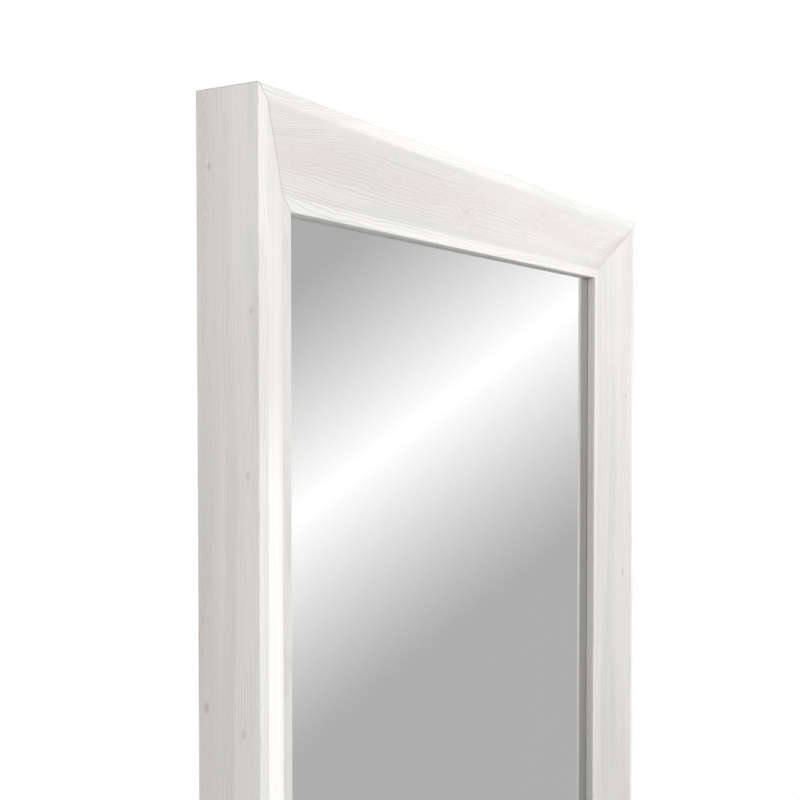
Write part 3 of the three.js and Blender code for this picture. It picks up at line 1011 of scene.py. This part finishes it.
def clamp_screw(shape):
    """A milled head with a coin slot on a threaded shank, its seat at y = 0 and its head towards +Y."""
    steps = 2 * shape.notches
    top, rim, crest, pitch = shape.head_height, shape.head_radius, shape.shank_radius, shape.pitch
    core = crest - THREAD_DEPTH * pitch
    points = [(0, -shape.length), (core - 0.0002, -shape.length), (core, -shape.length + 0.0002)]
    y = -shape.length + 0.0004
    while y < -pitch:
        points += [(core, y), (crest, y + 0.40 * pitch), (crest, y + 0.52 * pitch), (core, y + 0.92 * pitch)]
        y += pitch
    points += [(core, -0.0002), (core + 0.0002, 0), (rim - 0.0004, 0), (rim, 0.0003), (rim, top - 0.0006)]
    points += [(rim - 0.00015, top - 0.00032), (rim - 0.0005, top - 0.0001), (rim - 0.0011, top), (0, top)]
    bm = lathe(points, steps)
    notched = []
    for vert in bm.verts:
        turn = math.atan2(vert.co.z, vert.co.x) * steps / math.tau
        reach = math.hypot(vert.co.x, vert.co.z)
        if round(turn) % 2 and reach > rim - 0.0003 and abs(turn - round(turn)) < 0.01:
            notched.append(vert)
    factor = 1 - shape.mill_depth / rim
    bmesh.ops.scale(bm, verts=notched, vec=(factor, 1, factor))
    cut_coin_slot(bm, shape)
    return bm


def washer(radius, bore, thickness):
    """A stamped washer: one edge rolled over, the other crisp."""
    edge = thickness * 0.25
    points = [
        (bore, 0), (radius - edge, 0), (radius - edge * 0.3, edge * 0.3), (radius, edge),
        (radius, thickness - edge * 0.4), (radius - edge * 0.4, thickness), (bore + edge, thickness),
        (bore + edge * 0.3, thickness - edge * 0.3), (bore, thickness - edge), (bore, 0),
    ]
    return lathe(points, 48)


class MIRROR_OT_clamp_screws(Operator):
    """Turn the clamp screws and stamp their washers"""

    bl_idname = "mirror.clamp_screws"
    bl_label = "Clamp Screws"

    def execute(self, context):
        shape = context.scene.mirror_screw
        steel = zinc_steel(context.scene.mirror_hardware, "zinc_screws")
        for name, turn in zip(SCREWS, SLOT_TURNS):
            low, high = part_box(f"clamp_screw_{name}")
            bm = clamp_screw(shape)
            slant = Matrix.Rotation(math.radians(turn), 3, "Y")
            bmesh.ops.rotate(bm, verts=bm.verts, cent=(0, 0, 0), matrix=slant)
            middle = (low + high) / 2
            seat = Vector((middle.x, high.y - shape.head_height, middle.z))
            bmesh.ops.translate(bm, verts=bm.verts, vec=seat)
            finished_piece(bm, f"coin_screw_{name}", f"clamp_screw_{name}", steel)

            low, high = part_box(f"washer_{name}")
            bm = washer((high.x - low.x) / 2, shape.shank_radius + CAD_GAP, high.y - low.y)
            bmesh.ops.translate(bm, verts=bm.verts, vec=(middle.x, low.y, middle.z))
            finished_piece(bm, f"stamped_washer_{name}", f"washer_{name}", steel)
        return {"FINISHED"}


# ---------------- bumpers


class MIRROR_OT_bumpers(Operator):
    """Mould the two rubber bumpers at the lower corners"""

    bl_idname = "mirror.bumpers"
    bl_label = "Bumpers"

    def execute(self, context):
        rubber = moulded_rubber(context.scene.mirror_hardware)
        for side in SIDES:
            low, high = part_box(f"{side}_bumper")
            radius, base, face = (high.x - low.x) / 2, low.y, high.y
            points = [
                (0, base), (radius - 0.0004, base), (radius, base + 0.0004), (radius, base + 0.0014),
                (radius - 0.0006, base + 0.0018), (radius - 0.0009, face - 0.0014),
                (radius - 0.0012, face - 0.0006), (radius - 0.0018, face - 0.00015),
                (radius - 0.0026, face), (radius * 0.52, face), (radius * 0.44, face - 0.0002),
                (radius * 0.38, face - 0.0007), (radius * 0.2, face - 0.001), (0, face - 0.001),
            ]
            bm = lathe(points, 56)
            middle = (low + high) / 2
            bmesh.ops.translate(bm, verts=bm.verts, vec=(middle.x, 0, middle.z))
            finished_piece(bm, f"{side}_rubber_bumper", f"{side}_bumper", rubber, sharp=50)
        return {"FINISHED"}


# ---------------- studio

CAMERA_PLACE = Vector((-0.441262, -0.226213, -0.086570))
CAMERA_YAW = math.radians(60.489)  # from straight at the mirror, towards its right
CAMERA_PITCH = math.radians(-1.491)
SENSOR = 0.036

PICTURE_WIDTH = 800  # pixels

# The photograph's band crosses the view along the plane with this normal, in pixels right, up and forward.
BAND_CROSSING = (672.2, -884.4, -29.1)
FRONT_BAND_POLE = Vector((0.75, 0.06, 0.66)).normalized()
BAND_HALF_WIDTH = 0.166
BAND_FALL = 1.22
ROOM_RADIUS = 9

LAMP_SPREAD = math.radians(150)
CORNER = (0.1, 0, -0.05)
MIRROR = (0, 0, -0.3)

# Soft area lights: place, the point each faces, width and height, and power in watts.
LAMPS = {
    "front": ((0.10, -0.92, 0.20), CORNER, 0.5, 0.5, 3.2),
    "front_left": ((-0.36, -0.80, 0.20), CORNER, 0.5, 0.5, 0.76),
    "near_left": ((-0.70, -0.46, 0.20), CORNER, 0.5, 0.5, 1.75),
    "high_right": ((0.41, -0.53, 0.68), CORNER, 0.5, 0.5, 1.25),
    "low_right": ((1.13, -1.95, -1.60), MIRROR, 1.2, 1.2, 4.6),
    "back_left": ((-2.00, 1.15, -0.15), MIRROR, 1.3, 3.2, 17.8),
    "back": ((0, 2.59, -0.07), MIRROR, 1.2, 1.2, 7.7),
    "back_right": ((2.24, 1.30, -0.07), MIRROR, 1.2, 1.2, 6.3),
    "far_right": ((1.99, 0, 1.37), MIRROR, 1.2, 1.2, 4.2),
    "low_front": ((-0.30, -1.50, -1.60), (0, 0, -1), 0.8, 0.8, 5),
}


def camera_axes():
    """Right, up and forward of the camera."""
    forward = Vector((
        math.sin(CAMERA_YAW) * math.cos(CAMERA_PITCH),
        math.cos(CAMERA_YAW) * math.cos(CAMERA_PITCH),
        math.sin(CAMERA_PITCH),
    ))
    right = Vector((math.cos(CAMERA_YAW), -math.sin(CAMERA_YAW), 0))
    return right, right.cross(forward), forward


def stage_object(name, bm, material):
    obj = mesh_object(name, bm, material)
    return obj


def add_camera(studio):
    data = bpy.data.cameras.new("camera")
    data.lens = studio.lens / MILLIMETRE
    data.sensor_width = SENSOR / MILLIMETRE
    data.clip_start = 0.01
    data.clip_end = 60
    camera = placed("camera", data)
    camera.location = CAMERA_PLACE
    camera.rotation_euler = (math.radians(90) + CAMERA_PITCH, 0, -CAMERA_YAW)
    bpy.context.scene.camera = camera


def pale_floor(studio):
    """A round pale floor that fades into the white room at its edge."""
    finish = Finish("pale_floor", "ShaderNodeBsdfDiffuse")
    speck = finish.noise(finish.here(), 60, 3, 0.6)
    colour = finish.tinged((0.80, 0.80, 0.80), (0.83, 0.83, 0.83), speck, 0.35, 0.65)
    finish.set(Color=colour)
    lift = finish.node("ShaderNodeEmission", colour, studio.floor_glow)
    lit = finish.node("ShaderNodeAddShader", finish.shader.outputs[0], lift.outputs[0])
    clear = finish.node("ShaderNodeBsdfTransparent")
    flat = finish.scaled(finish.here(), 1, 1, 0)
    fade = finish.step(finish.length(flat), studio.floor_radius * 0.2, studio.floor_radius * 0.96)
    blend = finish.node("ShaderNodeMixShader", fade, lit.outputs[0], clear.outputs[0])
    finish.feed(finish.surface, blend.outputs[0])
    return finish.material


def mirrored_room(studio):
    """What the glass mirrors: plain grey with two soft slanting bands of light and a low window.

    The pattern is a glow on a shell round the studio, seen only in gloss. The bands are great circles.
    The first is placed as the photograph's band, seen from the camera's mirror image, and the other
    passes straight before the glass.
    """
    right, up, forward = (Vector((v.x, -v.y, v.z)) for v in camera_axes())
    crossing = sum((n * way for n, way in zip(BAND_CROSSING, (right, up, forward))), Vector())
    crossing /= PICTURE_WIDTH * studio.lens / SENSOR
    finish = Finish("mirrored_room", "ShaderNodeEmission")
    finish.material.cycles.emission_sampling = "NONE"
    way = finish.vector("NORMALIZE", finish.here())
    slanting, before = (
        band_glow(finish, finish.math("ABSOLUTE", finish.vector("DOT_PRODUCT", way, pole)))
        for pole in (crossing, FRONT_BAND_POLE)
    )
    rest = finish.times(finish.math("SUBTRACT", 1, slanting), before)
    glow = finish.math("ADD", slanting, rest)
    light = finish.fused(glow, studio.band - studio.grey, studio.grey)
    x, y, z = finish.split(way)
    bearing = finish.math("DEGREES", finish.math("ARCTAN2", x, finish.times(y, -1)))
    rise = finish.math("DEGREES", finish.math("ARCSINE", z))
    across = finish.times(finish.step(bearing, 71.2, 72.2), finish.step(bearing, 95, 85))
    low_part = finish.step(rise, 0, -5)
    near_edge = finish.step(bearing, 78, 75, 0, 0.7)
    high_part = finish.times(near_edge, finish.step(rise, 16, 8))
    tall = finish.times(finish.math("MAXIMUM", low_part, high_part), finish.step(rise, -52, -40))
    light = finish.fused(finish.times(across, tall), studio.window, light)
    finish.set(Strength=light)
    return finish.material


def band_glow(finish, off):
    """1 on the band's middle line, falling evenly to 0 at its soft edges."""
    fall = finish.math("SUBTRACT", 1, finish.math("DIVIDE", off, BAND_HALF_WIDTH), clamp=True)
    return finish.math("POWER", fall, BAND_FALL)


def add_lamp(name, place, target, width, height, power):
    data = bpy.data.lights.new(name, "AREA")
    data.shape = "RECTANGLE"
    data.size, data.size_y = width, height
    data.energy = power
    data.spread = LAMP_SPREAD
    lamp = placed(f"{name}_light", data)
    lamp.location = place
    lamp.rotation_euler = (Vector(target) - Vector(place)).to_track_quat("-Z", "Y").to_euler()
    lamp.visible_glossy = False
    lamp.visible_camera = False


def light_room(studio):
    """White behind everything, and an even soft light from it."""
    finish = Finish("room", "ShaderNodeBackground", world=True)
    seen = finish.node("ShaderNodeLightPath").outputs["Is Camera Ray"]
    finish.set(Color=(1, 1, 1), Strength=finish.step(seen, 0, 1, studio.ambient, 1))
    bpy.context.scene.world = finish.material


class MIRROR_OT_studio(Operator):
    """Set up the camera, the soft lights, the floor and what the glass mirrors"""

    bl_idname = "mirror.studio"
    bl_label = "Studio"

    def execute(self, context):
        studio = context.scene.mirror_studio
        add_camera(studio)
        light_room(studio)
        for name, lamp in LAMPS.items():
            add_lamp(name, *lamp)

        bm = bmesh.new()
        bmesh.ops.create_circle(bm, cap_ends=True, segments=96, radius=studio.floor_radius)
        floor = stage_object("floor", bm, pale_floor(studio))
        floor.location.z = -studio.floor_drop
        floor.visible_diffuse = False

        bm = bmesh.new()
        bmesh.ops.create_uvsphere(bm, u_segments=48, v_segments=24, radius=ROOM_RADIUS)
        room = stage_object("mirrored_room", bm, mirrored_room(studio))
        glass_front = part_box("mirror_glass")[0].y
        room.location = (CAMERA_PLACE.x, 2 * glass_front - CAMERA_PLACE.y, CAMERA_PLACE.z)
        for ray in ("camera", "diffuse", "transmission", "volume_scatter", "shadow"):
            setattr(room, f"visible_{ray}", False)

        context.scene.view_settings.view_transform = "Standard"
        return {"FINISHED"}


STEPS = (
    MIRROR_OT_studio,
    MIRROR_OT_wooden_frame,
    MIRROR_OT_mitre_glue,
    MIRROR_OT_glass,
    MIRROR_OT_backing,
    MIRROR_OT_hangers,
    MIRROR_OT_felt_pads,
    MIRROR_OT_clamp_screws,
    MIRROR_OT_bumpers,
)


class MIRROR_PT_panel(Panel):
    """Sizes, colours and steps of the mirror."""

    bl_idname = "MIRROR_PT_panel"
    bl_label = "Over the Door Mirror"
    bl_space_type = "VIEW_3D"
    bl_region_type = "UI"
    bl_category = "Mirror"

    def draw(self, context):
        for step in STEPS:
            self.layout.operator(step.bl_idname)
        for attribute, group in LOOKS:
            box = self.layout.box()
            box.label(text=(group.__doc__ or "").strip())
            for name in group.__annotations__:
                box.prop(getattr(context.scene, attribute), name)


def register():
    for _, group in LOOKS:
        bpy.utils.register_class(group)
    for attribute, group in LOOKS:
        setattr(bpy.types.Scene, attribute, PointerProperty(type=group))
    for step in STEPS:
        bpy.utils.register_class(step)
    bpy.utils.register_class(MIRROR_PT_panel)


def unregister():
    bpy.utils.unregister_class(MIRROR_PT_panel)
    for step in reversed(STEPS):
        bpy.utils.unregister_class(step)
    for attribute, group in LOOKS:
        delattr(bpy.types.Scene, attribute)
        bpy.utils.unregister_class(group)


def main():
    register()
    bpy.ops.mirror.studio()
    bpy.ops.mirror.wooden_frame()
    bpy.ops.mirror.mitre_glue()
    bpy.ops.mirror.glass()
    bpy.ops.mirror.backing()
    bpy.ops.mirror.hangers()
    bpy.ops.mirror.felt_pads()
    bpy.ops.mirror.clamp_screws()
    bpy.ops.mirror.bumpers()


if __name__ == "__main__":
    main()
